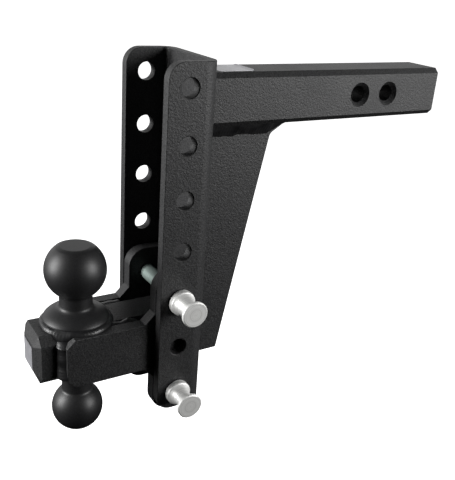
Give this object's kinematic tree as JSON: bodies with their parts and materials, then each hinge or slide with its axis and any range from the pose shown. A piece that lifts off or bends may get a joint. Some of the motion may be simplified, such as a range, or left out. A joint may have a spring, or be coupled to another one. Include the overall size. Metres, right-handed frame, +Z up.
{
  "type": "trailer hitch with ball",
  "caption": "Adjustable trailer hitch: solid shank and bent channel with pin holes, carrying a pinned mount with a large ball above and a small ball below.",
  "frame": {"origin": "centre of the hitch-pin hole in the shank", "axes": "+X along the shank towards the vehicle, +Y along the hitch-pin hole towards the vehicle's left side, +Z up"},
  "size_m": [0.4584, 0.1525, 0.371],
  "materials": {
    "powder_coat": "black powder coat over steel, satin, with a fine texture",
    "ball_finish": "smooth satin black over a turned steel ball",
    "coated_weld": "black powder coat over a rippled weld bead, slightly glossier than the plates",
    "stainless": "turned stainless steel, bright, with fine concentric tool marks",
    "spring_wire": "zinc-plated spring wire",
    "label_film": "blank pale adhesive label"
  },
  "bodies": {
    "hitch": {"shank": "powder_coat", "channel": "powder_coat", "gusset": "powder_coat", "left_mount_plate": "powder_coat", "right_mount_plate": "powder_coat", "ball_block": "powder_coat", "upper_ball": "ball_finish", "lower_ball": "ball_finish", "shank_weld": "coated_weld", "gusset_web_welds": "coated_weld", "gusset_top_welds": "coated_weld", "front_welds": "coated_weld", "top_groove_welds": "coated_weld", "bottom_groove_welds": "coated_weld", "upper_ball_weld": "coated_weld", "lower_ball_weld": "coated_weld", "block_label": "label_film", "shank_label": "label_film"},
    "upper_pin": {"upper_pin": "stainless"},
    "lower_pin": {"lower_pin": "stainless"},
    "upper_clip": {"upper_clip": "spring_wire"},
    "lower_clip": {"lower_clip": "spring_wire"}
  },
  "joints": [
    {"name": "upper_pin_slide", "type": "slide", "parent": "hitch", "child": "upper_pin", "axis": [0, -1, 0], "range_m": [0, 0.01]},
    {"name": "lower_pin_slide", "type": "slide", "parent": "hitch", "child": "lower_pin", "axis": [0, -1, 0], "range_m": [0, 0.01]},
    {"name": "upper_clip_pull", "type": "slide", "parent": "upper_pin", "child": "upper_clip", "axis": [0, 0, 1], "range_m": [0, 0.032]},
    {"name": "lower_clip_pull", "type": "slide", "parent": "lower_pin", "child": "lower_clip", "axis": [0, 0, 1], "range_m": [0, 0.032]}
  ]
}
